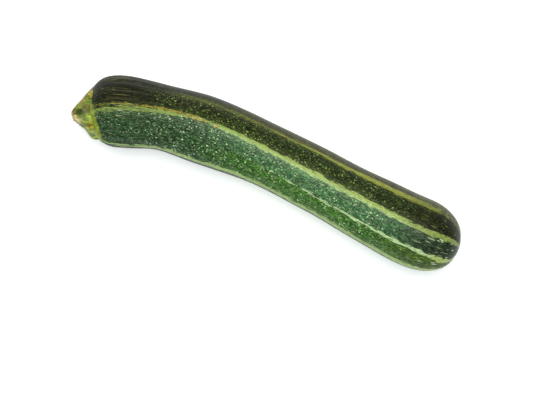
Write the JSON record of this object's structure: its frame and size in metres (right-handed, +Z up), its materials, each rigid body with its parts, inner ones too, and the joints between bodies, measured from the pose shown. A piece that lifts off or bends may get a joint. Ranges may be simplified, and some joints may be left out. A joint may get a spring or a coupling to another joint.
{
  "type": "courgette",
  "caption": "Whole courgette lying on its side: a long, slightly bent, striped dark green fruit with the cut, ridged stub of its stalk.",
  "frame": {"origin": "under the middle of the bounding box, on the surface that the courgette lies on", "axes": "+X from the stalk end to the blossom end, +Y to the outer side of the bend, +Z up"},
  "size_m": [0.2603, 0.0549, 0.0455],
  "materials": {
    "skin": "waxy dark green fruit skin with pale yellow-green stripes and small pale speckles, soft sheen",
    "stalk": "matt yellow-green woody stalk with pale cream cut faces"
  },
  "bodies": {
    "root": {"fruit": "skin", "stalk": "stalk"}
  },
  "joints": []
}
